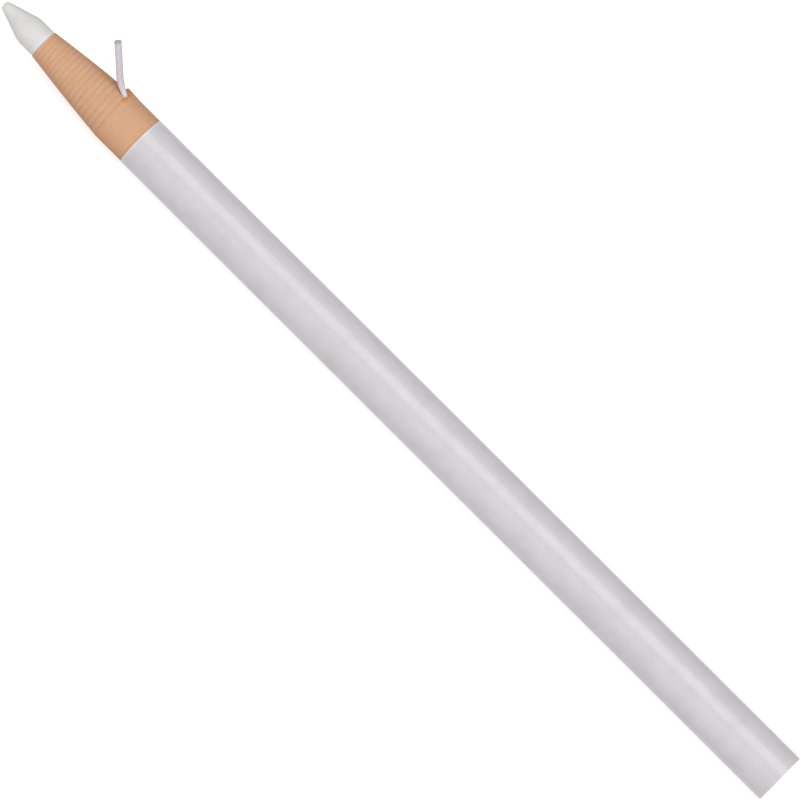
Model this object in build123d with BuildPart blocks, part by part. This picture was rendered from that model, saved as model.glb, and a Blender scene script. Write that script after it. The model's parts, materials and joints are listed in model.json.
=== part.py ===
"""Peel-off china marker: a wax core in a barrel of rolled kraft paper, with a pull string.

The marker lies along X with its axis through the origin. The rear end is at X = 0, the point is at +X,
and the string stands up in the XZ plane, on the +Z side. All sizes are in millimetres and degrees.
"""

import math
import os

from build123d import *

# Overall size
overall_length = 175.0
barrel_radius = 4.55

# Wax core and its cut point
core_radius = 2.56
point_length = 5.7
point_end_radius = 0.75
point_end_rounding = 0.4
point_shoulder_rounding = 4.0

# Rolled paper: kraft layers inside, one coated cover sheet outside
kraft_thickness = 0.115
cover_thickness = 0.06
collar_pitch = 5.92
perforation_width = 0.06

# Paper cone in front of the barrel
bare_core_length = 9.11
cone_length = 16.0
cone_lip_thickness = 0.04
cone_bulge = 0.09
cone_layers = 17
layer_step = 0.03
cone_shoulder_drop = 0.03

# Lap seam of the cover, as an angle from +Z towards -Y
seam_angle = 156.2
seam_width = 0.12
seam_depth = 0.03

# Pull string
string_radius = 0.46
string_angle = 46.4
string_bend_radius = 1.0
string_exit_setback = 0.05
foot_buried_length = 0.5
foot_free_length = 0.8
tail_length = 9.4
notch_ramp_angle = 18.0

# Clearances
core_clearance = 0.03
layer_clearance = 0.015
string_clearance = 0.05
strip_clearance = 0.03
string_joint_gap = 0.02

# Radii of the layers, worked out from the outside in
cover_inner = barrel_radius - cover_thickness
ply_outer = cover_inner - layer_clearance
ply_inner = ply_outer - kraft_thickness
winding_radius = ply_inner - layer_clearance
collar_bore = core_radius + core_clearance

# Stations along the axis, from the rear end
cone_front = overall_length - bare_core_length
ply_length = cone_front - cone_length
cover_length = ply_length - collar_pitch
nose_split = ply_length + collar_pitch
collar_count = round(ply_length / collar_pitch)

# Groove for the string, open outwards, and the slot that the tear strip fills
string_height = winding_radius - string_radius
groove_half_width = string_radius + string_clearance
groove_bottom = string_height - groove_half_width
overcut = 1.0

# Route of the string's foot: along the groove, round one bend, and out
string_direction = Vector(math.cos(math.radians(string_angle)), 0, math.sin(math.radians(string_angle)))
bend_tangent = string_bend_radius * math.tan(math.radians(string_angle / 2))
bend_corner = Vector(ply_length - string_exit_setback, 0, string_height)
foot_start = bend_corner - Vector(bend_tangent + foot_buried_length, 0, 0)
string_pivot = bend_corner + string_direction * (bend_tangent + foot_free_length)
foot_end = string_pivot - string_direction * string_joint_gap
slit_end = bend_corner.X - bend_tangent - strip_clearance


def cone_radius(x):
    """Outside radius of the paper cone at the station x: a straight taper with a slight bulge."""
    share = (x - ply_length) / cone_length
    rear = ply_outer - cone_shoulder_drop
    front = collar_bore + cone_lip_thickness
    return rear + (front - rear) * share + 4 * cone_bulge * share * (1 - share)


def cone_outline():
    """The cone's half section: each paper layer ends in a small shoulder that faces the point."""
    outline = [(ply_length, collar_bore), (ply_length, cone_radius(ply_length))]
    for layer in range(1, cone_layers):
        x = ply_length + cone_length * layer / cone_layers
        outline.append((x, cone_radius(x) + layer_step / 2))
        outline.append((x, cone_radius(x) - layer_step / 2))
    outline.append((cone_front, cone_radius(cone_front)))
    outline.append((cone_front, collar_bore))
    return outline


def turned_cone():
    """Turns the whole paper cone in the current part."""
    with BuildSketch(Plane.XZ) as half_section:
        with BuildLine():
            Polyline(cone_outline(), close=True)
        make_face()
    revolve(half_section.sketch, axis=Axis.X)


def tube(x_rear, x_front, inner, outer):
    """A paper tube between two stations in the current part."""
    with BuildSketch(Plane.YZ.offset(x_rear)) as ring:
        Circle(outer)
        Circle(inner, mode=Mode.SUBTRACT)
    extrude(ring.sketch, amount=x_front - x_rear)


def save(sub_part, name):
    """Labels a finished piece and writes it."""
    sub_part.part.label = name
    export_step(sub_part.part, f"parts/{name}.step")


os.makedirs("parts", exist_ok=True)

# Wax core: a straight rod with a blunt cone cut on its front end
with BuildPart() as wax_core:
    with BuildSketch(Plane.XZ):
        with BuildLine():
            Polyline(
                (0, 0),
                (0, core_radius),
                (overall_length - point_length, core_radius),
                (overall_length, point_end_radius),
                (overall_length, 0),
                close=True,
            )
        make_face()
    revolve(axis=Axis.X)
    rims = wax_core.edges().filter_by(GeomType.CIRCLE).sort_by(Axis.X)
    fillet(rims[-1], radius=point_end_rounding)
    rims = wax_core.edges().filter_by(GeomType.CIRCLE).sort_by(Axis.X)
    shoulder = rims.filter_by(lambda rim: abs(rim.radius - core_radius) < core_clearance)[-1]
    fillet(shoulder, radius=point_shoulder_rounding)
save(wax_core, "wax_core")

# Front nose collar: the thin half of the cone, down to its feathered lip
with BuildPart() as nose_collar_front:
    turned_cone()
    split(bisect_by=Plane.YZ.offset(nose_split), keep=Keep.TOP)
save(nose_collar_front, "nose_collar_front")

# Rear nose collar: the thick half of the cone, with a ramped notch that lets the string out
with BuildPart() as nose_collar_rear:
    turned_cone()
    split(bisect_by=Plane.YZ.offset(nose_split - perforation_width), keep=Keep.BOTTOM)
    notch_run = (barrel_radius - groove_bottom) / math.tan(math.radians(notch_ramp_angle))
    with BuildSketch(Plane.XZ):
        with BuildLine():
            Polyline(
                (ply_length, groove_bottom),
                (ply_length + notch_run, barrel_radius),
                (ply_length, barrel_radius),
                close=True,
            )
        make_face()
    extrude(amount=groove_half_width, both=True, mode=Mode.SUBTRACT)
save(nose_collar_rear, "nose_collar_rear")

# Inner winding: collars of rolled kraft strip, numbered from the point, grooved for the string.
# The last one takes what is left of the length, down to the rear end.
for number in range(1, collar_count + 1):
    with BuildPart() as collar:
        x_front = ply_length - (number - 1) * collar_pitch
        x_rear = 0 if number == collar_count else x_front - collar_pitch
        tube(x_rear, x_front - perforation_width, collar_bore, winding_radius)
        with BuildSketch(Plane.YZ.offset(x_rear)):
            with Locations((0, string_height)):
                Circle(groove_half_width)
            with Locations((0, string_height + overcut)):
                Rectangle(2 * groove_half_width, 2 * overcut)
        extrude(amount=x_front - x_rear, mode=Mode.SUBTRACT)
    save(collar, f"collar_{number:02d}")

# Exposed band of the outer ply, slotted over the string
with BuildPart() as ply_band:
    tube(cover_length, ply_length - perforation_width, ply_inner, ply_outer)
    with BuildSketch(Plane.YZ.offset(cover_length)):
        with Locations((0, ply_outer)):
            Rectangle(2 * groove_half_width, 2 * overcut)
    extrude(amount=collar_pitch, mode=Mode.SUBTRACT)
save(ply_band, "ply_band")

# Tear strip: the piece of the ply over the string, torn open in front as far as the string comes up
with BuildPart() as tear_strip:
    tube(cover_length, slit_end, ply_inner, ply_outer)
    with BuildSketch(Plane.YZ.offset(cover_length)):
        with Locations((0, ply_outer)):
            Rectangle(2 * (groove_half_width - strip_clearance), 2 * overcut)
    extrude(amount=collar_pitch, mode=Mode.INTERSECT)
save(tear_strip, "tear_strip")

# Covered length of the outer ply
with BuildPart() as ply_sleeve:
    tube(0, cover_length - perforation_width, ply_inner, ply_outer)
save(ply_sleeve, "ply_sleeve")

# Coated cover paper, wrapped once, with a fine line where its lap is glued down
with BuildPart() as cover:
    tube(0, cover_length, cover_inner, barrel_radius)
    with BuildSketch(Plane.YZ):
        with PolarLocations(barrel_radius, 1, start_angle=90 + seam_angle):
            Rectangle(2 * seam_depth, seam_width)
    extrude(amount=cover_length, mode=Mode.SUBTRACT)
save(cover, "cover")

# String under the ply, from the rear end to its foot
with BuildPart() as string_run:
    with BuildSketch(Plane.YZ):
        with Locations((0, string_height)):
            Circle(string_radius)
    extrude(amount=foot_start.X - string_joint_gap)
save(string_run, "string_run")

# Foot of the string, where it comes up out of the groove
with BuildPart() as string_foot:
    with BuildLine(Plane.XZ) as foot_route:
        FilletPolyline(
            (foot_start.X, foot_start.Z),
            (bend_corner.X, bend_corner.Z),
            (foot_end.X, foot_end.Z),
            radius=string_bend_radius,
        )
    with BuildSketch(Plane.YZ.offset(foot_start.X)):
        with Locations((0, string_height)):
            Circle(string_radius)
    sweep(path=foot_route.line)
save(string_foot, "string_foot")

# Free tail of the string, cut off square
with BuildPart() as string_tail:
    with BuildSketch(Plane(origin=string_pivot, z_dir=string_direction)):
        Circle(string_radius)
    extrude(amount=tail_length)
save(string_tail, "string_tail")

print("string pivot", string_pivot)
print("string bend radius", string_bend_radius)
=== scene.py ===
"""China marker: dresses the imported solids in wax, paper and string, and sets them on a studio stage."""

import json
import math
from bisect import bisect_right
from functools import partial
from itertools import accumulate

import bmesh
import bpy
from bpy.props import FloatProperty, FloatVectorProperty, IntProperty, PointerProperty
from mathutils import Matrix, Vector, noise
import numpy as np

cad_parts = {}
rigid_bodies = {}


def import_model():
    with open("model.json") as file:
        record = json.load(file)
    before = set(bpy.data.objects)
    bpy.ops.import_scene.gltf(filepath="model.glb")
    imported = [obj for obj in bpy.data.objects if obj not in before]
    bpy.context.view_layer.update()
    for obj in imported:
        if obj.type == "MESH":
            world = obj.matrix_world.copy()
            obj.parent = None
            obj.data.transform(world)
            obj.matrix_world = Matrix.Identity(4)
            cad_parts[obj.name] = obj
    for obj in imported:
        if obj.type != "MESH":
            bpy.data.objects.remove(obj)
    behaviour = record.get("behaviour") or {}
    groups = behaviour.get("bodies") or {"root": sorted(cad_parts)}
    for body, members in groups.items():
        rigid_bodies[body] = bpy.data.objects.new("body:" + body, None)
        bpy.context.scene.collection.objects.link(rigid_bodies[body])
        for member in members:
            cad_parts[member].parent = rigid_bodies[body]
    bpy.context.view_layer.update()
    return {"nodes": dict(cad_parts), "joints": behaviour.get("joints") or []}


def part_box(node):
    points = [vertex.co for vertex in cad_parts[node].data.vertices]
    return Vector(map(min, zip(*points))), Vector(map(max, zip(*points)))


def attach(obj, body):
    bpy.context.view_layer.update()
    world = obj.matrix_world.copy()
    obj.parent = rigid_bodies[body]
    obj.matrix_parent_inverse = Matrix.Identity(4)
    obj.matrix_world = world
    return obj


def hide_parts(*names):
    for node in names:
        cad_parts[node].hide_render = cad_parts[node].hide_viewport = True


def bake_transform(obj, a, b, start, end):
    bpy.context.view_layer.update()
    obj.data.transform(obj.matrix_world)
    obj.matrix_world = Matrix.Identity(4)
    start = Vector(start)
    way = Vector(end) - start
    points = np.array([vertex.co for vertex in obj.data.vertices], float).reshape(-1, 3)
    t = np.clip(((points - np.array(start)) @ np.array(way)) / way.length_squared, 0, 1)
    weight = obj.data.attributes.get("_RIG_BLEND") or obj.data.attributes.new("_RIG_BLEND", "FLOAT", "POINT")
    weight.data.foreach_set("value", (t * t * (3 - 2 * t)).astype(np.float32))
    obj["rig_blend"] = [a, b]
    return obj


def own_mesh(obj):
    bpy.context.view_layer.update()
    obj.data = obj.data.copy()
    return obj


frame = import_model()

bl_info = {
    "name": "China Marker",
    "version": (1, 0, 0),
    "blender": (4, 5, 0),
    "location": "View3D > Sidebar > Marker",
    "description": "Builds a peel-off china marker and a studio stage for it",
    "category": "Add Mesh",
}

MM = 0.001

# Distances within which points count as one, the second after a spin
MERGE = 1e-7
SPIN_ERROR = 2e-6

# Counts that set how smooth the meshes are
CORE_STEPS = 128
POINT_RINGS = 24
ROUNDING_STEPS = 6
CONE_STEPS = 160
BAND_STEPS = 240
BAND_RINGS = 24
STRIP_STEPS = 12
STRIP_RINGS = 48
COVER_STEPS = 220
COVER_RINGS = 8
STRING_SIDES = 30
ROUTE_STEPS = 24

# Edges that fold by more than this stay sharp
SHARP_ANGLE = math.radians(40)

# Core: share of the radius where the rear dish ends, sizes of the wear's grain and slower swell, strengths
# of the swell and of the whole, and the way the point leans, up and away from the camera
DISH_SHARE = 0.8
WEAR_GRAIN = 0.9 * MM
WEAR_SWELL = 2.5 * MM
SWELL_SHARE = 0.25
WEAR_SHARE = 0.6
POINT_LEAN = Vector((0, -0.63, 0.78))

# One layer of the cone's paper: share of its width, height in layer steps, and how dark the edge is there,
# from darker fibres and painted shade in the step
LAYER_TOOTH = [
    (0.0, -0.35, 1.0),
    (0.08, -0.5, 0.8),
    (0.28, -0.22, 0.2),
    (0.5, 0.05, 0.0),
    (0.72, 0.32, 0.1),
    (0.92, 0.5, 0.6),
    (1.0, -0.35, 1.0),
]

# Cone: turns that are wound past its ends and trimmed off, and the raggedness and waver of its edges
SPARE_TURNS = 2
EDGE_GRAIN = 1.7 * MM
EDGE_RAGGED = 0.5
WAVER_SIZE = 2.3 * MM
WAVER_LENGTH = 0.07 * MM

# The string's notch: how far it can reach along the collar, and the width over which its sides fall
NOTCH_REACH = 4 * MM
NOTCH_SIDE = 0.015 * MM

# Torn scar beside the string: length beside the notch, slant of its edge (radians a metre), width of the
# edge, turn and length at which it runs out on the far side, and its raggedness
SCAR_STRAIGHT = 1.8 * MM
SCAR_SLANT = math.radians(13) / MM
SCAR_EDGE = 0.2 * MM
SCAR_REACH = math.radians(50)
SCAR_RUNOUT = 1.0 * MM
SCAR_GRAIN = 0.4 * MM
SCAR_RAGGED = 0.4

# Painted shade of the scar beside the notch, turn from which it is full dark, and its loss behind the edge
SCAR_NEAR_SHADE = 0.2
SCAR_DARK_TURN = math.radians(30)
SCAR_FADE = 0.7

# Torn corners of the band: share of the far one's size that the near one has, and their raggedness
NEAR_TEAR = 0.4
TEAR_GRAIN = 0.45 * MM
TEAR_RAGGED = 0.25

# Frayed ends of the band and the strip, and how raw the strip's end looks
BAND_FRAY_GRAIN = 0.5 * MM
BAND_FRAY = 0.012 * MM
STRIP_FRAY_GRAIN = 0.22 * MM
STRIP_FRAY = 0.1 * MM
STRIP_RAW = 0.8

# Width over which the cover climbs onto its own lap
LAP_CLIMB = 1.5 * MM

# Centre line of the string where it comes up out of the slot: (station, height) in millimetres
STRING_ROUTE = [
    (148.9, 3.885),
    (149.5, 3.885),
    (150.1, 3.9),
    (150.75, 4.38),
    (151.54, 4.92),
    (152.32, 5.46),
    (153.42, 6.58),
    (154.72, 8.32),
    (157.11, 11.19),
]

# Stretch of the string that bends when it swings, behind and ahead of the pivot
BEND_BEHIND = 1.0 * MM
BEND_AHEAD = 5.0 * MM

# The free string's fibres stand out from here on, clear of the slot
NAP_START = 2.7 * MM
NAP_RUN = 1.2 * MM

# Strands, how narrow the grooves between them are, and the rounding of the string's cut ends
STRANDS = 3
GROOVE_POWER = 6
END_INSET = 0.12 * MM
END_RISES = (0.06 * MM, 0.02 * MM)

# Spacing of the mesh's rings along the free and the buried string
FREE_SPACING = 0.11 * MM
BURIED_SPACING = 0.5 * MM

# Where finishes change: start and end of the change, from the paper's or the cover's edge
CLEAN_WAX = (0.85 * MM, 0.3 * MM)
GLUE_STAIN = (0.45 * MM, 0.1 * MM)
COVER_CUT = (0.6 * MM, 0.1 * MM)

# The string is clean past its foot, over a stretch, and painted shade darkens its cut end over the last
# stretch
FOOT_LENGTH = 2.2 * MM
CLEAN_STRETCH = 2.6 * MM
END_SHADE_STRETCH = 0.5 * MM

# Stage: width of the photograph and of the sensor (mm), nearest thing that the camera sees, and the floor
PHOTO_PIXELS = 800
SENSOR_WIDTH = 36.0
CLIP_START = 0.05
FLOOR_SIZE = 3.0
FLOOR_GLOW = 0.74

# Lamps: size along and across the marker, height about its axis, and distance
FILL_LAMP = ((1.2, 0.8), math.radians(20), 1.3)
TOP_LAMP = ((0.42, 0.62), math.radians(70), 0.9)


def radius_of(node):
    """Largest radius of a CAD node about the marker's axis."""
    low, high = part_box(node)
    return max(-low.y, high.y, -low.z, high.z)


def joint_of(name):
    """The frame's record of a joint."""
    return next(joint for joint in frame["joints"] if joint["name"] == name)


def linear(code):
    """An sRGB hex colour as linear red, green, blue and alpha."""
    parts = [int(code[i:i + 2], 16) / 255 for i in (0, 2, 4)]
    return (*[p / 12.92 if p <= 0.04045 else ((p + 0.055) / 1.055) ** 2.4 for p in parts], 1.0)


def length(name, description, metres):
    """A length that a user can change."""
    return FloatProperty(name=name, description=description, default=metres, unit="LENGTH", precision=5)


def angle(name, description, degrees):
    """An angle that a user can change."""
    return FloatProperty(name=name, description=description, default=math.radians(degrees), subtype="ANGLE")


def level(name, description, value, unit="NONE"):
    """A strength or a setting that a user can change."""
    return FloatProperty(name=name, description=description, default=value, unit=unit)


def paint(name, description, code):
    """A colour that a user can change."""
    return FloatVectorProperty(
        name=name, description=description, default=linear(code), size=4, min=0, max=1, subtype="COLOR"
    )


class MarkerSizes(bpy.types.PropertyGroup):
    """Sizes of the wax, paper and string."""

    core_radius: length("Core radius", "Radius of the wax core", radius_of("wax_core"))
    core_gap: length("Core gap", "Gap between the core and the paper round it", 0.03 * MM)
    point_length: length("Point length", "Length of the cut point", 5.7 * MM)
    point_end_radius: length("Point end radius", "Radius of the point's blunt end", 0.75 * MM)
    point_end_rounding: length("Point end rounding", "Rounding of the blunt end's rim", 0.6 * MM)
    point_shoulder_rounding: length("Shoulder rounding", "Rounding where the point starts", 4.0 * MM)
    point_wear: length("Point wear", "Depth of the wear on the blunt end", 0.05 * MM)
    point_lean: length("Point lean", "How far off the axis the point is cut", 0.1 * MM)
    rear_dish: length("Rear dish", "Depth of the hollow in the core's rear face", 0.1 * MM)
    cone_bulge: length("Cone bulge", "How far the paper cone stands out from a straight taper", 0.09 * MM)
    cone_lip: length("Cone lip", "Thickness of the paper at the front of the cone", 0.04 * MM)
    cone_layers: IntProperty(name="Cone layers", description="Paper edges on the cone", default=17, min=2)
    layer_step: length("Layer step", "Height of the shoulder at each paper edge", 0.02 * MM)
    perforation_gap: length("Perforation gap", "Gap that shows at a perforation", 0.004 * MM)
    notch_flat: length("Notch flat", "Level floor of the notch that the string lies in", 0.5 * MM)
    notch_slope: angle("Notch slope", "Slope of the notch under the rising string", 42.0)
    string_gap: length("String gap", "Gap on each side of the string in its slot", 0.05 * MM)
    ply_thickness: length("Ply thickness", "Thickness of the outer kraft ply", 0.115 * MM)
    cover_thickness: length("Cover thickness", "Thickness of the coated cover paper", 0.06 * MM)
    lap_width: length("Lap width", "Width of the cover's glued lap", 3.0 * MM)
    lap_angle: angle("Lap angle", "Turn of the lap's free edge from straight up", 156.2)
    strip_lift: length("Strip lift", "How far the torn paper over the string stands up", 0.28 * MM)
    strip_overhang: length("Strip overhang", "How far the lifted end lies over the string", 0.78 * MM)
    tear_length: length("Tear length", "Length of the band's torn corner", 1.2 * MM)
    tear_width: length("Tear width", "Width of the band's torn corner", 3.4 * MM)
    tear_fade: length("Tear fade", "Width over which the torn corner runs out", 0.9 * MM)
    tear_pull: length("Tear pull", "How far the torn corner is pulled forward", 1.4 * MM)
    tear_lift: length("Tear lift", "How far the torn corner stands up", 0.15 * MM)
    scar_depth: length("Scar depth", "Depth of the paper torn off the cone beside the string", 0.05 * MM)
    string_radius: length("String radius", "Radius of the pull string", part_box("string_run")[1].y)
    string_nap: length("String nap", "How far the fibres of the free string stand out", 0.12 * MM)
    string_lay: length("String lay", "Length of one turn of the string's strands", 4.6 * MM)
    strand_depth: length("Strand depth", "Depth of the grooves between the strands", 0.01 * MM)


class MarkerColours(bpy.types.PropertyGroup):
    """Colours of the finishes."""

    wax: paint("Wax", "Pigmented wax", "E2E0DE")
    wax_shade: paint("Wax shade", "Wax where hands and dust have dulled it", "DCDBD9")
    wax_clean: paint("Clean wax", "Wax beside the paper, not yet handled", "E4E9F1")
    kraft: paint("Kraft", "Kraft paper", "DBAC88")
    kraft_pale: paint("Pale kraft", "Kraft paper where the cut has raised its fibres", "DFB497")
    # Line at each paper layer's edge: darker fibres together with painted shade in the step
    kraft_edge: paint("Kraft edge", "Shaded edge of a paper layer", "B9805A")
    kraft_fleck: paint("Kraft fleck", "Darker fibres in the kraft paper", "BC7F4B")
    kraft_fuzz: paint("Kraft fuzz", "Warm light in the fibres at the paper's edges", "E08A4A")
    kraft_torn: paint("Torn kraft", "Raw fibres where the paper is torn", "D48B45")
    # Painted shade on the torn scar beside the string, where the cone's top layers are torn off
    kraft_shadow: paint("Kraft shadow", "Inner paper where the cone's top layers are torn off", "C26C34")
    cover: paint("Cover", "Coated cover paper", "D6D1D5")
    cover_shade: paint("Cover shade", "Thinner clouds in the cover paper", "D1CCCF")
    cover_cut: paint("Cover cut", "Raw cut edge of the cover paper", "D9DFEC")
    string: paint("String", "Waxed cotton string", "DAD2DA")
    string_shade: paint("String shade", "Grooves between the strands", "C8BEC7")
    string_foot: paint("String foot", "Cleaner string near the paper", "DCE2EF")
    # Painted shade on the string's cut end
    string_end_shade: paint("String end", "Cut fibres at the string's end", "BDAFB6")
    floor: paint("Floor", "Studio floor", "CCCCCC")


class MarkerStage(bpy.types.PropertyGroup):
    """Camera and light."""

    camera_distance: length("Camera distance", "Distance from the marker's middle to the camera", 1.5)
    camera_lens: level("Lens", "Focal length in millimetres", 423.7)
    camera_elevation: angle("Elevation", "Height of the camera over the marker, about its axis", 39.0)
    camera_tilt: angle("Tilt", "Swing of the camera towards the rear end", 3.3)
    camera_roll: angle("Roll", "Turn of the camera about its line of sight", 44.921)
    middle_pixel: FloatVectorProperty(
        name="Middle pixel", description="Marker's middle in the picture", size=2, default=(390.6, 390.39)
    )
    sky_strength: level("Sky strength", "Level of the even light", 0.42)
    fill_power: level("Fill power", "Low lamp on the camera's side", 6.6, "POWER")
    top_power: level("Top power", "Softbox overhead", 2.7, "POWER")


def spin(body, geom, steps, sweep, advance=0.0):
    """Spins geometry about the marker's axis and along it. A full turn that doesn't advance is closed."""
    bmesh.ops.spin(
        body,
        geom=geom,
        cent=(0, 0, 0),
        axis=(1, 0, 0),
        dvec=(advance, 0, 0),
        angle=sweep,
        steps=steps,
        use_merge=sweep == math.tau and not advance,
    )


def weld(body):
    """Merges doubled points and turns the faces outwards."""
    bmesh.ops.remove_doubles(body, verts=body.verts, dist=MERGE)
    bmesh.ops.recalc_face_normals(body, faces=body.faces)


def turned(outline, steps, start=0.0, sweep=math.tau):
    """Spins an outline of (station, radius) points about the marker's axis, from a start angle at +Y."""
    body = bmesh.new()
    across = Vector((0, math.cos(start), math.sin(start)))
    points = [body.verts.new(Vector((x, 0, 0)) + across * radius) for x, radius in outline]
    edges = [body.edges.new(pair) for pair in zip(points, points[1:])]
    spin(body, points + edges, steps, sweep)
    weld(body)
    return body


def level_outline(rear, front, radius, count):
    """An outline along the marker at one radius, in even steps."""
    return [(rear + (front - rear) * number / count, radius) for number in range(count + 1)]


def radial(place):
    """Distance of a point from the marker's axis."""
    return math.hypot(place.y, place.z)


def set_radius(vert, radius):
    """Moves a vertex straight out from the axis to a radius."""
    scale = radius / radial(vert.co)
    vert.co.y *= scale
    vert.co.z *= scale


def ring_edges(body, x, radius):
    """The edges of a turned body that run round the axis at one station and radius."""
    at_ring = {
        vert
        for vert in body.verts
        if abs(vert.co.x - x) < SPIN_ERROR and abs(radial(vert.co) - radius) < SPIN_ERROR
    }
    return [edge for edge in body.edges if at_ring.issuperset(edge.verts)]


def open_rim(body, x):
    """The open edges of a body at one station."""
    return [edge for edge in body.edges if edge.is_boundary and abs(edge.verts[0].co.x - x) < SPIN_ERROR]


def cut_station(body, x, **clear):
    """Cuts a body across at one station, and clears one side if told to."""
    whole = [*body.verts, *body.edges, *body.faces]
    bmesh.ops.bisect_plane(body, geom=whole, plane_co=(x, 0, 0), plane_no=(1, 0, 0), **clear)


def ease(share):
    """A share from 0 to 1 with a soft start and end."""
    share = min(max(share, 0.0), 1.0)
    return share * share * (3 - 2 * share)


def add_object(name, data):
    """Puts a new object with this mesh, light or camera in the scene."""
    thing = bpy.data.objects.new(name, data)
    bpy.context.scene.collection.objects.link(thing)
    return thing


def mesh_object(name, body, material):
    """Makes an object of a finished bmesh."""
    mesh = bpy.data.meshes.new(name)
    body.to_mesh(mesh)
    body.free()
    mesh.materials.append(material)
    return add_object(name, mesh)


def make_piece(name, body, material, nodes, rides_on=None):
    """Makes a smooth piece of a finished bmesh, which stands for its CAD nodes."""
    piece = mesh_object(name, body, material)
    piece.data.shade_smooth()
    piece.data.set_sharp_from_angle(angle=SHARP_ANGLE)
    if rides_on:
        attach(piece, rides_on)
    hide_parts(*nodes)
    return piece


def per(millimetres):
    """Scale of a pattern whose features have this size."""
    return 1 / (millimetres * MM)


def plug(node, inputs):
    """Sets a node's inputs, by name or number, to values or links them to sockets."""
    for key, value in inputs.items():
        if isinstance(value, bpy.types.NodeSocket):
            node.id_data.links.new(value, node.inputs[key])
        else:
            node.inputs[key].default_value = value


def add_node(tree, kind, inputs=None, **settings):
    """Adds a shader node with its settings and inputs, and gives its outputs.

    Sockets that share a name go by number: a Mix has its share at 0, its two colours at 6 and 7 and the
    mixed colour at 2, and a Map Range has its value at 0 and its ranges at 1 to 2 and 3 to 4.
    """
    node = tree.nodes.new(f"ShaderNode{kind}")
    for name, value in settings.items():
        setattr(node, name, value)
    plug(node, inputs or {})
    return node.outputs


def start_material(name, roughness, ior):
    """A new material, its shader with usual values for the real material, and what adds nodes to it."""
    material = bpy.data.materials.new(name)
    material.use_nodes = True
    shader = material.node_tree.nodes["Principled BSDF"]
    plug(shader, {"Roughness": roughness, "IOR": ior})
    return material, shader, partial(add_node, material.node_tree)


def cut_wax(colours):
    """Pigmented wax, extruded as a rod and cut to a point with a blade.

    It gives the eye a soft, slightly translucent white with a broad dull sheen, faint blade rings on the
    point, smudges from handling, and a cleaner, cooler band beside the paper.
    """
    material, shader, add = start_material("extruded_wax", 0.5, 1.44)
    place = add("TexCoord")["Object"]
    smudge = add("TexNoise", {"Vector": place, "Scale": per(1.6), "Detail": 3.0})
    dulled = add("MapRange", {0: smudge["Fac"], 1: 0.42, 2: 0.68})
    handled = add("Mix", {0: dulled[0], 6: colours.wax, 7: colours.wax_shade}, data_type="RGBA")
    along = add("SeparateXYZ", {0: place})["X"]
    start, end = (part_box("nose_collar_front")[1].x + reach for reach in CLEAN_WAX)
    clean = add("MapRange", {0: along, 1: start, 2: end, 4: 0.65}, interpolation_type="SMOOTHSTEP")
    colour = add("Mix", {0: clean[0], 6: handled[2], 7: colours.wax_clean}, data_type="RGBA")
    # Blade rings are about 0.1 mm apart on the real point and are drawn at 0.3 mm so that they show
    stretched = add("Mapping", {0: place, 3: (per(0.3), per(2.2), per(2.2))})
    rings = add("TexNoise", {"Vector": stretched[0], "Scale": 1.0})
    grain = add("TexNoise", {"Vector": place, "Scale": per(0.35)})
    relief = add("Math", {0: rings["Fac"], 1: grain["Fac"]}, operation="ADD")
    bump = add("Bump", {"Height": relief[0], "Strength": 0.25, "Distance": 0.03 * MM})
    dull = add("MapRange", {0: smudge["Fac"], 3: 0.42, 4: 0.6})
    plug(shader, {"Base Color": colour[2], "Roughness": dull[0], "Normal": bump[0]})
    plug(shader, {"Subsurface Weight": 0.15, "Subsurface Radius": (1.0, 0.9, 0.8)})
    plug(shader, {"Subsurface Scale": 0.4 * MM})
    return material


def fuzzy(colours):
    """Shader values of matt kraft paper, whose fine fibres catch a warm light at its edges."""
    return {
        "Specular IOR Level": 0.0,
        "Sheen Weight": 0.5,
        "Sheen Roughness": 0.4,
        "Sheen Tint": colours.kraft_fuzz,
    }


def add_flecks(add, place, colours, paper):
    """Scatters the darker fibres of unbleached pulp over a sheet's colour."""
    # The flecks are about 0.05 mm wide on real paper and are drawn at 0.12 mm so that they show
    wound = add("Mapping", {0: place, 3: (per(0.12), per(0.3), per(0.3))})
    pulp = add("TexNoise", {"Vector": wound[0], "Scale": 1.0, "Detail": 3.0})
    dark = add("MapRange", {0: pulp["Fac"], 1: 0.48, 2: 0.72, 4: 0.36})
    return add("Mix", {0: dark[0], 6: paper, 7: colours.kraft_fleck}, data_type="RGBA")


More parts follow.
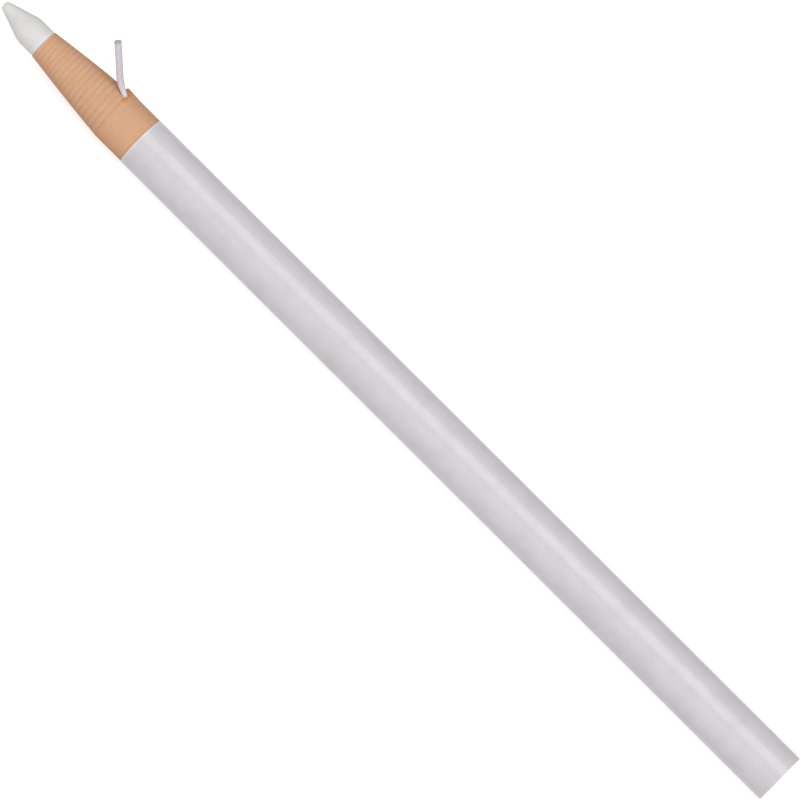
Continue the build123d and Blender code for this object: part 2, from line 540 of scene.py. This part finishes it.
def cut_kraft(colours):
    """Rolled kraft paper, cut to a cone across its layers.

    It gives the eye warm tan paper with a matt, slightly fuzzy cut, a soft darker line at each layer's
    edge that is partly darker fibres and partly painted shade in the step, paler fibre streaks between the
    lines, painted shade on the torn scar beside the string, and no shine.
    """
    material, shader, add = start_material("cut_kraft_paper", 0.85, 1.45)
    place = add("TexCoord")["Object"]
    # Paper fibres are about 0.03 mm wide and are drawn at 0.16 mm so that they show
    round_cone = add("Mapping", {0: place, 3: (per(0.16), per(1.3), per(1.3))})
    fibres = add("TexNoise", {"Vector": round_cone[0], "Scale": 1.0, "Detail": 3.0})
    patches = add("TexNoise", {"Vector": place, "Scale": per(2.4)})
    streaks = add("Math", {0: fibres["Fac"], 1: patches["Fac"]}, operation="MULTIPLY")
    paleness = add("MapRange", {0: streaks[0], 1: 0.18, 2: 0.36})
    tan = add("Mix", {0: paleness[0], 6: colours.kraft, 7: colours.kraft_pale}, data_type="RGBA")
    # Each layer's edge is darkened, partly for darker fibres and partly as painted shade in its step
    edge = add("Attribute", attribute_name="layer_edge_and_shade")
    broken = add("MapRange", {0: patches["Fac"], 1: 0.35, 2: 0.65, 3: 0.1, 4: 0.38})
    line = add("Math", {0: edge["Fac"], 1: broken[0]}, operation="MULTIPLY")
    lined = add("Mix", {0: line[0], 6: tan[2], 7: colours.kraft_edge}, data_type="RGBA")
    flecked = add_flecks(add, place, colours, lined[2])
    # Painted shade on the torn scar beside the string, darkest on its far side
    torn = add("Attribute", attribute_name="tear_and_painted_shade")
    colour = add("Mix", {0: torn["Fac"], 6: flecked[2], 7: colours.kraft_shadow}, data_type="RGBA")
    bump = add("Bump", {"Height": fibres["Fac"], "Strength": 0.35, "Distance": 0.04 * MM})
    plug(shader, {"Base Color": colour[2], "Normal": bump[0], **fuzzy(colours)})
    return material


def smooth_kraft(colours):
    """Kraft paper as it comes off the roll, calendered smooth.

    It gives the eye an even matt tan with fine fibres, soft cloudy patches, a warmer line where
    the cover's glue has stained it, and raw orange fibres where it is torn.
    """
    material, shader, add = start_material("calendered_kraft_paper", 0.62, 1.45)
    place = add("TexCoord")["Object"]
    # Fibres are about 0.03 mm wide and are drawn at 0.2 mm so that they show
    stretched = add("Mapping", {0: place, 3: (per(0.5), per(0.2), per(0.2))})
    fibres = add("TexNoise", {"Vector": stretched[0], "Scale": 1.0, "Detail": 3.0})
    clouds = add("TexNoise", {"Vector": place, "Scale": per(1.5), "Detail": 3.0})
    mixed = add("Mix", {0: 0.65, 2: fibres["Fac"], 3: clouds["Fac"]}, data_type="FLOAT")
    paleness = add("MapRange", {0: mixed[0], 1: 0.38, 2: 0.62, 4: 0.45})
    sheet = add("Mix", {0: paleness[0], 6: colours.kraft, 7: colours.kraft_pale}, data_type="RGBA")
    flecked = add_flecks(add, place, colours, sheet[2])
    along = add("SeparateXYZ", {0: place})["X"]
    start, end = (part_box("cover")[1].x + reach for reach in GLUE_STAIN)
    stain = add("MapRange", {0: along, 1: start, 2: end, 4: 0.4}, interpolation_type="SMOOTHSTEP")
    stained = add("Mix", {0: stain[0], 6: flecked[2], 7: colours.kraft_torn}, data_type="RGBA")
    # On the band and the strip this attribute marks raw torn fibres and carries no shade
    torn = add("Attribute", attribute_name="tear_and_painted_shade")
    colour = add("Mix", {0: torn["Fac"], 6: stained[2], 7: colours.kraft_torn}, data_type="RGBA")
    bump = add("Bump", {"Height": mixed[0], "Strength": 0.2, "Distance": 0.02 * MM})
    dull = add("MapRange", {0: clouds["Fac"], 3: 0.55, 4: 0.72})
    plug(shader, {"Base Color": colour[2], "Roughness": dull[0], "Normal": bump[0], **fuzzy(colours)})
    return material


def wound_kraft(colours, layer):
    """The inner winding: kraft strip rolled tight, seen on its cut ends.

    It gives the eye a tan ring with fine darker lines that spiral out from layer to layer.
    """
    material, shader, add = start_material("wound_kraft_paper", 0.85, 1.45)
    place = add("TexCoord")["Object"]
    parts = add("SeparateXYZ", {0: place})
    flat = add("CombineXYZ", {1: parts["Y"], 2: parts["Z"]})
    radius = add("VectorMath", {0: flat[0]}, operation="LENGTH")
    turn = add("Math", {0: parts["Z"], 1: parts["Y"]}, operation="ARCTAN2")
    share = add("Math", {0: turn[0], 1: 2 / math.tau}, operation="MULTIPLY")
    # There is one line for every four layers, so that the lines show
    count = add("Math", {0: radius["Value"], 1: 1 / (2 * layer)}, operation="MULTIPLY")
    spiral = add("Math", {0: count[0], 1: share[0]}, operation="ADD")
    wave = add("Math", {0: spiral[0], 1: 1.0}, operation="PINGPONG")
    line = add("MapRange", {0: wave[0], 1: 0.3, 2: 0.05, 4: 0.7})
    fibres = add("TexNoise", {"Vector": place, "Scale": per(0.25)})
    tan = add("Mix", {0: fibres["Fac"], 6: colours.kraft, 7: colours.kraft_pale}, data_type="RGBA")
    colour = add("Mix", {0: line[0], 6: tan[2], 7: colours.kraft_edge}, data_type="RGBA")
    bump = add("Bump", {"Height": fibres["Fac"], "Strength": 0.3, "Distance": 0.03 * MM})
    plug(shader, {"Base Color": colour[2], "Normal": bump[0], "Specular IOR Level": 0.25})
    return material


def coated_paper(colours):
    """White cover paper, clay coated, calendered and varnished.

    It gives the eye a cool white with a satin stripe under the lamp, faint clouds where the sheet is
    thinner, a very fine tooth, and a raw, paler line where the knife cut its front edge.
    """
    material, shader, add = start_material("varnished_cover_paper", 0.22, 1.45)
    place = add("TexCoord")["Object"]
    clouds = add("TexNoise", {"Vector": place, "Scale": per(3.2), "Detail": 3.0})
    thin = add("MapRange", {0: clouds["Fac"], 1: 0.4, 2: 0.66})
    sheet = add("Mix", {0: thin[0], 6: colours.cover, 7: colours.cover_shade}, data_type="RGBA")
    along = add("SeparateXYZ", {0: place})["X"]
    start, end = (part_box("cover")[1].x - reach for reach in COVER_CUT)
    cut = add("MapRange", {0: along, 1: start, 2: end, 4: 0.8}, interpolation_type="SMOOTHSTEP")
    colour = add("Mix", {0: cut[0], 6: sheet[2], 7: colours.cover_cut}, data_type="RGBA")
    # The paper's tooth is about 0.05 mm and is drawn at 0.3 mm so that it shows
    tooth = add("TexNoise", {"Vector": place, "Scale": per(0.3)})
    bump = add("Bump", {"Height": tooth["Fac"], "Strength": 0.1, "Distance": 0.02 * MM})
    varnish = add("MapRange", {0: clouds["Fac"], 3: 0.18, 4: 0.27})
    plug(shader, {"Base Color": colour[2], "Roughness": varnish[0], "Normal": bump[0]})
    plug(shader, {"Specular IOR Level": 0.45})
    return material


def waxed_cotton(colours, sizes, free_length):
    """Cotton string, three strands laid together and waxed.

    It gives the eye a greyish white cord with slanting grooves between the strands, fine fibres along
    them, a dull wax sheen, a cleaner, bluer stretch next to the paper, and painted shade on its cut end.
    """
    material, shader, add = start_material("waxed_cotton_string", 0.55, 1.46)
    parts = add("SeparateXYZ", {0: add("TexCoord")["UV"]})
    turn, along = parts["X"], parts["Y"]
    groove = add("Attribute", attribute_name="strand_groove")
    # The cotton's fibres are about 0.02 mm thick and are drawn at 0.1 mm so that they show
    laid = add("Math", {0: along, 1: 1 / sizes.string_lay}, operation="MULTIPLY")
    slant = add("Math", {0: turn, 1: laid[0]}, operation="SUBTRACT")
    yarn = add("CombineXYZ", {0: slant[0], 1: along})
    around = per(0.1) * math.tau * sizes.string_radius
    drawn = add("Mapping", {0: yarn[0], 3: (around, per(1.2), 1.0)})
    fibres = add("TexNoise", {"Vector": drawn[0], "Scale": 1.0})
    shade = add("Math", {0: groove["Fac"], 1: fibres["Fac"]}, operation="MULTIPLY")
    cord = add("Mix", {0: shade[0], 6: colours.string, 7: colours.string_shade}, data_type="RGBA")
    near = {0: along, 1: FOOT_LENGTH + CLEAN_STRETCH, 2: FOOT_LENGTH, 4: 0.85}
    near_paper = add("MapRange", near, interpolation_type="SMOOTHSTEP")
    clean = add("Mix", {0: near_paper[0], 6: cord[2], 7: colours.string_foot}, data_type="RGBA")
    # Painted shade darkens the last stretch, at the cut end
    last = {0: along, 1: free_length - END_SHADE_STRETCH, 2: free_length, 4: 0.9}
    end_shade = add("MapRange", last, interpolation_type="SMOOTHSTEP")
    colour = add("Mix", {0: end_shade[0], 6: clean[2], 7: colours.string_end_shade}, data_type="RGBA")
    bump = add("Bump", {"Height": fibres["Fac"], "Strength": 0.3, "Distance": 0.03 * MM})
    plug(shader, {"Base Color": colour[2], "Normal": bump[0]})
    return material


def seen_directly(add):
    """One for rays from the camera, a reflection or a clear surface, and nought for other light."""
    light_path = add("LightPath")
    seen = light_path["Is Camera Ray"]
    for ray in ("Is Glossy Ray", "Is Transmission Ray"):
        seen = add("Math", {0: seen, 1: light_path[ray]}, operation="MAXIMUM")[0]
    return seen


def studio_floor(colours):
    """Matt white paper sweep, which the camera sees as plain white with the marker's soft shadow on it."""
    material, shader, add = start_material("white_paper_sweep", 0.9, 1.45)
    glow = add("Math", {0: seen_directly(add), 1: FLOOR_GLOW}, operation="MULTIPLY")
    plug(shader, {"Base Color": colours.floor, "Specular IOR Level": 0.0})
    plug(shader, {"Emission Color": (1, 1, 1, 1), "Emission Strength": glow[0]})
    return material


class MARKER_OT_core(bpy.types.Operator):
    """Turn the wax core, round its edges and wear its point"""

    bl_idname = "marker.core"
    bl_label = "Wax core"

    def execute(self, context):
        sizes = context.scene.marker_sizes
        low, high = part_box("wax_core")
        shoulder = high.x - sizes.point_length
        taper = math.atan2(sizes.core_radius - sizes.point_end_radius, sizes.point_length)
        tip = high.x - sizes.point_wear
        outline = [
            (low.x + sizes.rear_dish, 0),
            (low.x, DISH_SHARE * sizes.core_radius),
            (low.x, sizes.core_radius),
            (shoulder, sizes.core_radius),
            (tip, sizes.point_end_radius),
            (high.x, 0),
        ]
        body = turned(outline, CORE_STEPS)
        roundings = [
            (low.x, sizes.core_radius, sizes.rear_dish),
            (shoulder, sizes.core_radius, sizes.point_shoulder_rounding * math.tan(taper / 2)),
            (tip, sizes.point_end_radius, sizes.point_end_rounding * math.tan(math.pi / 4 - taper / 2)),
        ]
        for x, radius, tangent in roundings:
            bmesh.ops.bevel(
                body,
                geom=ring_edges(body, x, radius),
                offset=tangent,
                segments=ROUNDING_STEPS,
                profile=0.5,
                affect="EDGES",
                material=-1,
            )
        for number in range(1, POINT_RINGS):
            cut_station(body, shoulder + (tip - shoulder) * number / POINT_RINGS)
        body.normal_update()
        for vert in body.verts:
            if vert.co.x > shoulder:
                worn = ease((vert.co.x - shoulder) / sizes.point_length)
                swell = SWELL_SHARE * noise.noise(vert.co / WEAR_SWELL)
                bite = noise.noise(vert.co / WEAR_GRAIN) * worn + swell
                vert.co += vert.normal * bite * WEAR_SHARE * sizes.point_wear
                vert.co += POINT_LEAN * worn * sizes.point_lean
        material = cut_wax(context.scene.marker_colours)
        make_piece("sharpened_core", body, material, ["wax_core"], "barrel")
        return {"FINISHED"}


def cone_share(sizes, drop, fall):
    """Share of the cone's length at which its radius has fallen by this share of its whole drop."""
    slope = drop - 4 * sizes.cone_bulge
    return 2 * drop * fall / (slope + math.sqrt(slope * slope + 16 * sizes.cone_bulge * drop * fall))


def cone_skin(sizes):
    """Outside of the paper cone: one helix of paper edge, with a small shoulder facing the point."""
    rear_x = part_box("nose_collar_rear")[0].x
    front_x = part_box("nose_collar_front")[1].x
    rear_radius = radius_of("nose_collar_rear")
    front_radius = sizes.core_radius + sizes.core_gap + sizes.cone_lip
    drop = rear_radius - front_radius
    pitch = 1 / sizes.cone_layers
    body = bmesh.new()
    for name in ("layer_edge_and_shade", "tear_and_painted_shade"):
        body.verts.layers.float.new(name)
    edge_shade = body.verts.layers.float["layer_edge_and_shade"]
    chain = []
    # The helix is wound on a cylinder whose length is 1, and then drawn out to the cone
    for share, height, shade in LAYER_TOOTH:
        vert = body.verts.new(((share - SPARE_TURNS) * pitch, rear_radius + height * sizes.layer_step, 0))
        vert[edge_shade] = shade
        chain.append(vert)
    edges = [body.edges.new(pair) for pair in zip(chain, chain[1:])]
    spin(body, chain + edges, CONE_STEPS, math.tau, pitch / CONE_STEPS)
    one_turn = [*body.verts, *body.edges, *body.faces]
    for turn in range(1, sizes.cone_layers + SPARE_TURNS + 1):
        copied = bmesh.ops.duplicate(body, geom=one_turn)["geom"]
        verts = [item for item in copied if isinstance(item, bmesh.types.BMVert)]
        bmesh.ops.translate(body, verts=verts, vec=(turn * pitch, 0, 0))
    bmesh.ops.remove_doubles(body, verts=body.verts, dist=SPIN_ERROR)
    for vert in body.verts:
        height = radial(vert.co) - rear_radius
        share = cone_share(sizes, drop, vert.co.x)
        vert.co.x = rear_x + (front_x - rear_x) * share
        bulge = 4 * sizes.cone_bulge * share * (1 - share)
        set_radius(vert, rear_radius - drop * share + bulge)
        ragged = 1 + EDGE_RAGGED * noise.noise(vert.co / EDGE_GRAIN)
        set_radius(vert, radial(vert.co) + height * ragged)
        vert.co.x += WAVER_LENGTH * noise.noise(vert.co / WAVER_SIZE)
    bmesh.ops.recalc_face_normals(body, faces=body.faces)
    return body


def close_bore(body, stations, bore):
    """Gives a trimmed skin its two end faces and its bore."""
    rims = []
    for x in stations:
        made = bmesh.ops.extrude_edge_only(body, edges=open_rim(body, x))["geom"]
        for vert in made:
            if isinstance(vert, bmesh.types.BMVert):
                set_radius(vert, bore)
        rims += [edge for edge in made if isinstance(edge, bmesh.types.BMEdge)]
    bmesh.ops.bridge_loops(body, edges=rims)
    weld(body)


def cut_notch(body, sizes, rear_x):
    """Presses the string's ramped notch into the top of the rear nose collar."""
    half_width = sizes.string_radius + sizes.string_gap
    floor_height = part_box("string_run")[0].z - sizes.string_gap

    def in_notch(middle):
        return middle.z > floor_height and middle.x < rear_x + NOTCH_REACH

    for side in (-1, 1):
        for width in (half_width, half_width + NOTCH_SIDE):
            top = [face for face in body.faces if in_notch(face.calc_center_median())]
            geom = [*top, *dict.fromkeys(item for face in top for item in (*face.verts, *face.edges))]
            wall = (0, side * width, 0)
            bmesh.ops.bisect_plane(body, geom=geom, plane_co=wall, plane_no=(0, 1, 0), dist=MERGE)
    for vert in body.verts:
        if abs(vert.co.y) < half_width + MERGE and vert.co.z > floor_height:
            rise = max(0.0, vert.co.x - rear_x - sizes.notch_flat)
            ramp = floor_height + rise * math.tan(sizes.notch_slope)
            vert.co.z = min(vert.co.z, ramp)


def tear_scar(body, sizes, rear_x):
    """Tears the top layers off the cone, on the string's far side, back from a slanting edge, and paints
    shade on the scar.
    """
    torn = body.verts.layers.float["tear_and_painted_shade"]
    near_turn = -math.asin((sizes.string_radius + sizes.string_gap) / radius_of("nose_collar_rear"))
    for vert in body.verts:
        # The bore stays whole
        if radial(vert.co) < sizes.core_radius + 2 * sizes.scar_depth:
            continue
        turn = math.atan2(-vert.co.y, vert.co.z)
        edge = near_turn + max(0.0, vert.co.x - rear_x - SCAR_STRAIGHT) * SCAR_SLANT
        inside = (turn - edge) * radial(vert.co) / SCAR_EDGE
        far = ease((SCAR_REACH - turn) * radial(vert.co) / SCAR_RUNOUT)
        if turn > edge - SCAR_EDGE / sizes.core_radius:
            depth = ease(inside) * far
            ragged = 1 + SCAR_RAGGED * noise.noise(vert.co / SCAR_GRAIN)
            set_radius(vert, radial(vert.co) - sizes.scar_depth * depth * ragged)
            # The scar's painted shade: palest beside the notch, full dark further round, fading back behind
            # its edge
            shaded = SCAR_NEAR_SHADE + (1 - SCAR_NEAR_SHADE) * ease(turn / SCAR_DARK_TURN)
            vert[torn] = shaded * far * ease(inside) * (1 - SCAR_FADE * ease((inside - 1) / 2))


class MARKER_OT_nose(bpy.types.Operator):
    """Roll and cut the two paper collars of the nose, with the string's notch in the rear one"""

    bl_idname = "marker.nose"
    bl_label = "Nose collars"

    def execute(self, context):
        sizes = context.scene.marker_sizes
        material = cut_kraft(context.scene.marker_colours)
        bore = sizes.core_radius + sizes.core_gap
        skin = cone_skin(sizes)
        # The perforation shows as a hairline, so the front collar nearly reaches back to the rear one
        rear_x, split = (corner.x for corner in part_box("nose_collar_rear"))
        stretches = {
            "rear": (rear_x, split),
            "front": (split + sizes.perforation_gap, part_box("nose_collar_front")[1].x),
        }
        for end, (start, stop) in stretches.items():
            body = skin.copy()
            cut_station(body, start, clear_inner=True)
            cut_station(body, stop, clear_outer=True)
            close_bore(body, (start, stop), bore)
            if end == "rear":
                tear_scar(body, sizes, start)
                cut_notch(body, sizes, start)
            node = f"nose_collar_{end}"
            make_piece(f"cut_nose_{end}", body, material, [node], f"nose_{end}")
        skin.free()
        return {"FINISHED"}


class MARKER_OT_ply(bpy.types.Operator):
    """Wrap the exposed band of the outer ply and lay the tear strip in its slot"""

    bl_idname = "marker.ply"
    bl_label = "Kraft band and tear strip"

    def execute(self, context):
        sizes = context.scene.marker_sizes
        material = smooth_kraft(context.scene.marker_colours)
        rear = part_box("ply_band")[0].x
        outside = radius_of("ply_band")
        slot = math.asin((sizes.string_radius + sizes.string_gap) / outside)
        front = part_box("nose_collar_rear")[0].x - sizes.perforation_gap
        outline = level_outline(rear, front, outside, BAND_RINGS)
        body = turned(outline, BAND_STEPS, math.pi / 2 + slot, math.tau - 2 * slot)
        torn = body.verts.layers.float.new("tear_and_painted_shade")
        for vert in body.verts:
            turn = (math.atan2(vert.co.z, vert.co.y) - math.pi / 2) % math.tau
            forward = max(0.0, 1 - (front - vert.co.x) / sizes.tear_length)
            ragged = 1 + TEAR_RAGGED * noise.noise(Vector((0, vert.co.y, vert.co.z)) / TEAR_GRAIN)
            for corner, pull in ((turn - slot, 1.0), (math.tau - slot - turn, NEAR_TEAR)):
                beside = pull * ease((pull * sizes.tear_width - corner * outside) / sizes.tear_fade)
                vert.co.x += sizes.tear_pull * beside * forward * forward * ragged
                set_radius(vert, radial(vert.co) + sizes.tear_lift * beside * forward)
                vert[torn] = max(vert[torn], ease(beside / pull * (2 * forward - 1)))
            if vert.co.x > front - MERGE:
                vert.co.x -= BAND_FRAY * (1 + noise.noise(vert.co / BAND_FRAY_GRAIN))
        bmesh.ops.solidify(body, geom=body.faces, thickness=sizes.ply_thickness)
        make_piece("kraft_band", body, material, ["ply_band"], "barrel")

        low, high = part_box("tear_strip")
        slot = math.asin(high.y / outside)
        front = high.x + sizes.strip_overhang
        outline = level_outline(low.x, front, outside, STRIP_RINGS)
        body = turned(outline, STRIP_STEPS, math.pi / 2 - slot, 2 * slot)
        torn = body.verts.layers.float.new("tear_and_painted_shade")
        for vert in body.verts:
            curl = max(0.0, (vert.co.x - high.x) / sizes.strip_overhang) ** 3
            vert[torn] = STRIP_RAW * curl
            vert.co.z += sizes.strip_lift * curl
            if vert.co.x > front - SPIN_ERROR:
                vert.co.x += STRIP_FRAY * noise.noise(vert.co / STRIP_FRAY_GRAIN)
        bmesh.ops.solidify(body, geom=body.faces, thickness=sizes.ply_thickness)
        strip = make_piece("torn_strip", body, material, ["tear_strip"], "barrel")
        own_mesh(strip)
        return {"FINISHED"}


class MARKER_OT_cover(bpy.types.Operator):
    """Wrap the coated cover paper once round the barrel and lap it on itself"""

    bl_idname = "marker.cover"
    bl_label = "Cover paper"

    def execute(self, context):
        sizes = context.scene.marker_sizes
        low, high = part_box("cover")
        inside = radius_of("cover") - sizes.cover_thickness
        lap = sizes.lap_width / inside
        # The sheet starts under its own lap, goes once round and ends at the lap's free edge
        start = math.pi / 2 + sizes.lap_angle - lap
        sweep = math.tau + lap
        outline = level_outline(low.x, high.x, inside, COVER_RINGS)
        body = turned(outline, COVER_STEPS, start, sweep)
        climb = LAP_CLIMB / inside
        for number, vert in enumerate(body.verts):
            turn = sweep * (number // len(outline)) / COVER_STEPS
            set_radius(vert, inside + sizes.cover_thickness * ease((turn - math.tau + climb) / climb))
        bmesh.ops.recalc_face_normals(body, faces=body.faces)
        bmesh.ops.solidify(body, geom=body.faces, thickness=-sizes.cover_thickness)
        material = coated_paper(context.scene.marker_colours)
        make_piece("lapped_cover", body, material, ["cover"], "barrel")
        return {"FINISHED"}


def route_points(route):
    """Points along a route, read from the NURBS curve that it controls."""
    curve = bpy.data.curves.new("route", "CURVE")
    curve.dimensions = "3D"
    spline = curve.splines.new("NURBS")
    spline.points.add(len(route) - 1)
    for point, (x, z) in zip(spline.points, route):
        point.co = (x * MM, 0, z * MM, 1)
    spline.order_u = 3
    spline.use_endpoint_u = True
    spline.resolution_u = ROUTE_STEPS
    guide = bpy.data.objects.new("route", curve)
    mesh = bpy.data.meshes.new_from_object(guide)
    points = [vert.co.copy() for vert in mesh.vertices]
    bpy.data.batch_remove((mesh, guide, curve))
    return points


def turn_of(place):
    """A point's turn about X, as a share of a full one."""
    return math.atan2(place.z, place.y) / math.tau


def straight_string(sizes, nap, string_length, spacing):
    """A laid string along X from the origin, with its own map: turn round it, distance along it."""
    body = bmesh.new()
    groove = body.verts.layers.float.new("strand_groove")
    rows = round(string_length / spacing)
    upright = Matrix.Rotation(math.pi / 2, 4, "Y")
    bmesh.ops.create_circle(body, segments=STRING_SIDES, radius=sizes.string_radius, matrix=upright)
    spin(body, [*body.verts, *body.edges], rows, 0.0, string_length / rows)
    for vert in body.verts:
        strand = STRANDS * (turn_of(vert.co) - vert.co.x / sizes.string_lay)
        depth = abs(math.cos(math.pi * strand)) ** GROOVE_POWER
        vert[groove] = depth
        swell = nap * ease((vert.co.x - NAP_START) / NAP_RUN)
        set_radius(vert, sizes.string_radius + swell - sizes.strand_depth * depth)
    for end in (0.0, string_length):
        cap = bmesh.ops.edgeloop_fill(body, edges=open_rim(body, end))["faces"]
        for rise in END_RISES:
            bmesh.ops.inset_region(body, faces=cap, thickness=END_INSET, depth=rise)
    bmesh.ops.recalc_face_normals(body, faces=body.faces)
    uv = body.loops.layers.uv.new("string_map")
    for face in body.faces:
        middle = turn_of(face.calc_center_median())
        for loop in face.loops:
            turn = turn_of(loop.vert.co)
            loop[uv].uv = (turn + round(middle - turn), loop.vert.co.x)
    return body


class MARKER_OT_string(bpy.types.Operator):
    """Lay the pull string in its groove and up out of the slot"""

    bl_idname = "marker.string"
    bl_label = "Pull string"

    def execute(self, context):
        sizes = context.scene.marker_sizes
        points = route_points(STRING_ROUTE)
        runs = [(b - a).length for a, b in zip(points, points[1:])]
        total = sum(runs)
        material = waxed_cotton(context.scene.marker_colours, sizes, total)
        body = straight_string(sizes, sizes.string_nap, total, FREE_SPACING)
        stations = [0.0, *accumulate(runs)]
        across = Vector((0, 1, 0))
        for vert in body.verts:
            number = min(max(bisect_right(stations, vert.co.x) - 1, 0), len(runs) - 1)
            forward = (points[number + 1] - points[number]).normalized()
            place = points[number] + forward * (vert.co.x - stations[number])
            vert.co = place + across * vert.co.y + forward.cross(across) * vert.co.z
        string = make_piece("pull_string", body, material, ["string_foot", "string_tail"])
        pivot = Vector(joint_of("string_swing")["pos_m"])
        forward = (points[-1] - pivot).normalized()
        bend = (pivot - forward * BEND_BEHIND, pivot + forward * BEND_AHEAD)
        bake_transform(string, "string_foot", "string_tail", start=bend[0], end=bend[1])

        low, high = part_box("string_run")
        body = straight_string(sizes, 0.0, high.x - low.x, BURIED_SPACING)
        bmesh.ops.translate(body, verts=body.verts, vec=(low.x, 0, (low.z + high.z) / 2))
        run = make_piece("buried_string", body, material, ["string_run"], "barrel")
        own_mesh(run)
        return {"FINISHED"}


class MARKER_OT_winding(bpy.types.Operator):
    """Finish the inner collars and the covered ply"""

    bl_idname = "marker.winding"
    bl_label = "Inner winding"

    def execute(self, context):
        scene = context.scene
        material = wound_kraft(scene.marker_colours, scene.marker_sizes.ply_thickness)
        for name, node in frame["nodes"].items():
            if name.startswith(("collar_", "ply_sleeve")):
                for slot in node.material_slots:
                    slot.material = material
        return {"FINISHED"}


def add_lamp(name, power, size, elevation, distance, target):
    """A soft lamp that faces the marker, square to its axis, and that the camera doesn't see."""
    light = bpy.data.lights.new(name, "AREA")
    light.shape = "RECTANGLE"
    light.size, light.size_y = size
    light.energy = power
    lamp = add_object(name, light)
    back = Vector((0, math.cos(elevation), math.sin(elevation)))
    along = Vector((1, 0, 0))
    turn = Matrix((along, back.cross(along), back)).transposed()
    lamp.matrix_world = Matrix.Translation(target + back * distance) @ turn.to_4x4()
    lamp.visible_camera = False
    return lamp


class MARKER_OT_stage(bpy.types.Operator):
    """Add the floor, the lamps, the sky and the camera"""

    bl_idname = "marker.stage"
    bl_label = "Studio stage"

    def execute(self, context):
        scene = context.scene
        stage = scene.marker_stage
        middle = Vector((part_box("wax_core")[1].x / 2, 0, 0))

        body = bmesh.new()
        bmesh.ops.create_grid(body, x_segments=1, y_segments=1, size=FLOOR_SIZE)
        bmesh.ops.translate(body, verts=body.verts, vec=(middle.x, 0, -radius_of("cover")))
        floor = mesh_object("studio_floor", body, studio_floor(scene.marker_colours))

        fill = add_lamp("matt_fill", stage.fill_power, *FILL_LAMP, middle)
        fill.visible_glossy = False
        add_lamp("top_softbox", stage.top_power, *TOP_LAMP, middle)

        world = bpy.data.worlds.new("even_sky")
        world.use_nodes = True
        scene.world = world
        add = partial(add_node, world.node_tree)
        strength = add("MapRange", {0: seen_directly(add), 3: stage.sky_strength})
        background = world.node_tree.nodes["Background"]
        plug(background, {"Color": (1, 1, 1, 1), "Strength": strength[0]})

        across = Vector((0, math.cos(stage.camera_elevation), math.sin(stage.camera_elevation)))
        rearward = Vector((-1, 0, 0))
        back = across * math.cos(stage.camera_tilt) + rearward * math.sin(stage.camera_tilt)
        along = (rearward - back * rearward.dot(back)).normalized()
        side = back.cross(along)
        right = along * math.cos(stage.camera_roll) + side * math.sin(stage.camera_roll)
        up = side * math.cos(stage.camera_roll) - along * math.sin(stage.camera_roll)
        pixel = stage.camera_distance * SENSOR_WIDTH / (stage.camera_lens * PHOTO_PIXELS)
        column, row = (PHOTO_PIXELS / 2 - place for place in stage.middle_pixel)
        place = middle + back * stage.camera_distance + (right * column - up * row) * pixel
        data = bpy.data.cameras.new("photo_camera")
        data.sensor_width = SENSOR_WIDTH
        data.lens = stage.camera_lens
        data.clip_start = CLIP_START
        camera = add_object("photo_camera", data)
        camera.matrix_world = Matrix.Translation(place) @ Matrix((right, up, back)).transposed().to_4x4()
        scene.camera = camera
        scene.view_settings.view_transform = "Standard"
        return {"FINISHED"}


GROUPS = {"marker_sizes": MarkerSizes, "marker_colours": MarkerColours, "marker_stage": MarkerStage}
OPERATORS = [
    MARKER_OT_string,
    MARKER_OT_core,
    MARKER_OT_nose,
    MARKER_OT_ply,
    MARKER_OT_cover,
    MARKER_OT_winding,
    MARKER_OT_stage,
]


class MARKER_PT_sidebar(bpy.types.Panel):
    """Lists the marker's pieces, sizes and colours"""

    bl_idname = "MARKER_PT_sidebar"
    bl_label = "China Marker"
    bl_space_type = "VIEW_3D"
    bl_region_type = "UI"
    bl_category = "Marker"

    def draw(self, context):
        for operator in OPERATORS:
            self.layout.operator(operator.bl_idname)
        for name, group in GROUPS.items():
            box = self.layout.box()
            for value in group.__annotations__:
                box.prop(getattr(context.scene, name), value)


def register():
    for name, group in GROUPS.items():
        bpy.utils.register_class(group)
        setattr(bpy.types.Scene, name, PointerProperty(type=group))
    for operator in OPERATORS:
        bpy.utils.register_class(operator)
    bpy.utils.register_class(MARKER_PT_sidebar)


def unregister():
    bpy.utils.unregister_class(MARKER_PT_sidebar)
    for operator in reversed(OPERATORS):
        bpy.utils.unregister_class(operator)
    for name, group in GROUPS.items():
        delattr(bpy.types.Scene, name)
        bpy.utils.unregister_class(group)


def main():
    register()
    bpy.ops.marker.string()
    bpy.ops.marker.core()
    bpy.ops.marker.nose()
    bpy.ops.marker.ply()
    bpy.ops.marker.cover()
    bpy.ops.marker.winding()
    bpy.ops.marker.stage()


if __name__ == "__main__":
    main()
